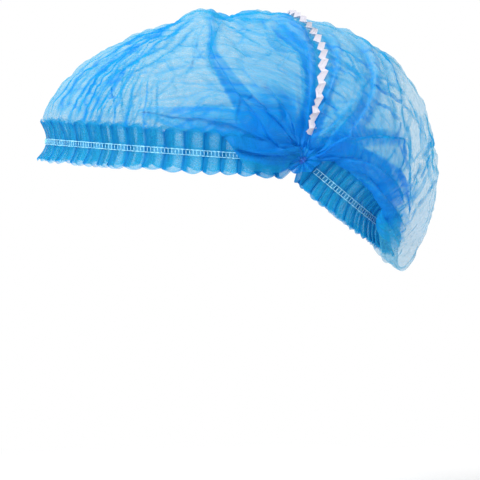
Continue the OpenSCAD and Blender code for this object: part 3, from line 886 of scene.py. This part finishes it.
def folded_tape():
    """White tape sewn over the crown, drawn up into slanting accordion facets."""
    rng = np.random.default_rng(SEED + 7)
    share = np.linspace(0.93, -0.93, 3000)
    line = front_surface(np.ones_like(share), share)
    s = np.concatenate([[0], np.cumsum(np.linalg.norm(np.diff(line, axis=0), axis=1))])
    folds = int(s[-1] / TAPE_FACET)
    points, uv = [], []
    for i in range(folds + 1):
        odd = 1 if i % 2 else -1
        skew = odd * rng.uniform(0.2, 0.8) + rng.uniform(-0.3, 0.3)
        shift = odd * rng.uniform(0.5, 1.1)
        lift = 0.5 + (2.3 if i % 2 else 0.1) * rng.uniform(0.7, 1.1)
        row = []
        for q in (-1, -0.33, 0.33, 1):
            at = np.clip(i * TAPE_FACET + skew * q + rng.uniform(-0.15, 0.15), 0, s[-1])
            k = np.interp(at, s, share)
            ahead = front_surface(np.array(1.0), np.array(k - 0.01))
            behind = front_surface(np.array(1.0), np.array(k + 0.01))
            along = unit(ahead - behind)
            centre = (ahead + behind) / 2
            inner = front_surface(np.array(0.97), np.array(k))
            across = unit((centre - inner) - along * ((centre - inner) @ along))
            away = np.cross(across, along)
            away = away * np.sign(away @ centre)
            row.append(centre + across * (q * TAPE_WIDTH / 2 + shift) + away * lift)
        points.append(row)
        uv.append([(q * TAPE_WIDTH / 2, i * TAPE_FACET * 1.35) for q in (-1, -0.33, 0.33, 1)])
    obj = cloth_grid("folded_crown_tape", np.array(points), np.array(uv))
    thicken(obj, 0.3)
    obj.data.materials.append(woven("matt_white_cotton_tape", "E6E5EA", "BDBBC8", 0.5, 0.85))
    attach(obj, "crown")
    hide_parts("crown_tape")
    return obj


def elastic_band(hem, side):
    """Flat braided elastic inside the hem."""
    u, s = hem.arc_length(HEM_START + 0.5)
    at = np.arange(0, s[-1], 1.5)
    turn = np.interp(at, s, u)
    levels = np.linspace(-1, 1, 5) * ELASTIC / 2
    rows = [hem.at(turn, np.full_like(turn, r), np.zeros_like(turn)) for r in levels]
    uv = [np.stack([at, np.full_like(at, r)], -1) for r in levels]
    obj = cloth_grid(side + "_elastic_band", np.array(rows), np.array(uv))
    thicken(obj, 0.6)
    obj.data.materials.append(elastic_weave)
    shade_smooth(obj)
    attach(obj, side + "_hem")
    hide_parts(side + "_elastic")
    return obj


def stitches(name, thickness, places, material, body, replaced):
    """One needle stitch modelled and copied to each (start, end, outward)."""
    deselect()
    bpy.ops.mesh.primitive_uv_sphere_add(segments=7, ring_count=5, radius=0.5)
    stitch = finished(bpy.context.object, "stitch")
    made = []
    for a, b, out in places:
        along = b - a
        length = np.linalg.norm(along)
        x = along / length
        z = unit(out - x * (out @ x))
        y = np.cross(z, x)
        copy = stitch.copy()
        copy.data = stitch.data.copy()
        turn = np.eye(4)
        turn[:3, 0], turn[:3, 1], turn[:3, 2] = x * length * MM, y * thickness * MM, z * thickness * MM
        turn[:3, 3] = (a + b) / 2 * MM
        copy.data.transform(Matrix(turn.tolist()))
        bpy.context.scene.collection.objects.link(copy)
        made.append(copy)
    bpy.data.objects.remove(stitch)
    deselect()
    for obj in made:
        obj.select_set(True)
    bpy.context.view_layer.objects.active = made[0]
    bpy.ops.object.join()
    obj = finished(bpy.context.object, name)
    obj.data.materials.append(material)
    shade_smooth(obj)
    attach(obj, body)
    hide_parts(replaced)
    return obj


def sewing(hem, side):
    """Two rows of needle stitches along the elastic, with the cover thread's rungs between them."""
    u, s = hem.arc_length(HEM_START + 3.5)
    out = FACE_OUT + 0.55

    def place(at, rise):
        return hem.at(np.interp(at, s, u), rise, out)

    def outward(at):
        return hem.frame(np.interp(at, s, u))[2]

    body = side + "_hem"
    for row, rise in (("upper", ROW_GAP / 2), ("lower", -ROW_GAP / 2)):
        starts = np.arange(1.0, s[-1] - 3, STITCH)
        stitches(side + "_" + row + "_stitches", 0.46,
                 [(place(a, rise), place(a + STITCH * 1.3, rise), outward(a)) for a in starts],
                 pale_thread, body, side + "_" + row + "_stitch")
    starts = np.arange(1.5, s[-1] - 2, RUNG)
    stitches(side + "_cover_thread_rungs", 0.4,
             [(place(a, -ROW_GAP / 2), place(a + 0.35, ROW_GAP / 2), outward(a)) for a in starts],
             pale_thread, body, side + "_cover_thread")


def gather(side, sign):
    """The crown's cloth pinched together above the ear, in deep radial pleats."""
    rows, cols = 16, 24 * 8 + 1
    k, a = np.meshgrid(np.linspace(0.1, 1.0, rows), np.linspace(0, TURN, cols), indexing="ij")
    outline = 1 + 0.1 * np.sin(2 * a + 1) + 0.07 * np.sin(5 * a) - 0.24 * ease(-np.sin(a) * 1.6)
    r = k * (CROWN_START + 2.4) * outline
    wander = 0.5 * np.sin(a * 3 + 1) + 0.4 * np.sin(a * 2 + sign)
    wave = np.sin(a * 11 + wander) * 0.7 + 0.4 * np.sin(a * 19 + wander * 2)
    bulge = 1.8 * np.sin(np.clip(k * 1.12, 0, 1) * math.pi * 0.8) - 1.5 * (1 - k) ** 2
    under = 0.5 + 0.5 * np.sin(a)
    y = abs(CROWN_SIDE) + bulge - 0.9 * under * k**2 + wave * (0.35 + 0.5 * k)
    twist = a + 0.10 * (1 - k)
    x, z = r * np.cos(twist), r * np.sin(twist)
    points = np.stack([x, sign * y, z], -1)
    obj = cloth_grid(side + "_gathered_cloth", points, np.stack([a * 12, r], -1))
    finished(obj, obj.name)
    bpy.ops.object.mode_set(mode="EDIT")
    bpy.ops.mesh.select_all(action="SELECT")
    bpy.ops.mesh.remove_doubles(threshold=0.00001)
    bpy.ops.mesh.normals_make_consistent(inside=False)
    bpy.ops.object.mode_set(mode="OBJECT")
    place = points_of(obj)
    turn = np.arctan2(place[:, 2], place[:, 0])
    # painted shade: lighter and darker bands that follow the radial pleats; the high base value is the many
    # layers of the pinch
    painted_shade_streak = np.cos(turn * 11 + 0.5 * np.sin(turn * 3 + 1))
    store(obj, "overlap_and_shade", 0.92 - 0.12 * painted_shade_streak)
    obj.data.materials.append(crown_cloth)
    shade_smooth(obj)
    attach(obj, "crown")
    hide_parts(side + "_gather")
    # the bar of tacking thread across the pinch
    centre = np.array([0, sign * (abs(CROWN_SIDE) + 0.5), 0])
    bars = []
    for turn in np.radians((38, 50, 61, 74, -52, 8)):
        way = np.array([math.cos(turn), 0, math.sin(turn)]) * 2.5
        bars.append((centre - way, centre + way, np.array([0.0, sign, 0.0])))
    stitches(side + "_tacking_thread", 0.6, bars, blue_thread, "crown", side + "_tack")


pale_thread = spun_thread("pale_spun_polyester_thread", ("A4E2F4", "6CC4E6"), 0.5)
blue_thread = spun_thread("blue_spun_polyester_thread", ("0A6CD8", "0550B4"), 0.5)
elastic_weave = woven("braided_elastic", "BFE6F4", "7CC6E2", 0.8, 0.7)
folded_tape()
for hem, side in ((FRONT, "front"), (REAR, "rear")):
    elastic_band(hem, side)
    sewing(hem, side)
for side, sign in (("left", -1), ("right", 1)):
    gather(side, sign)
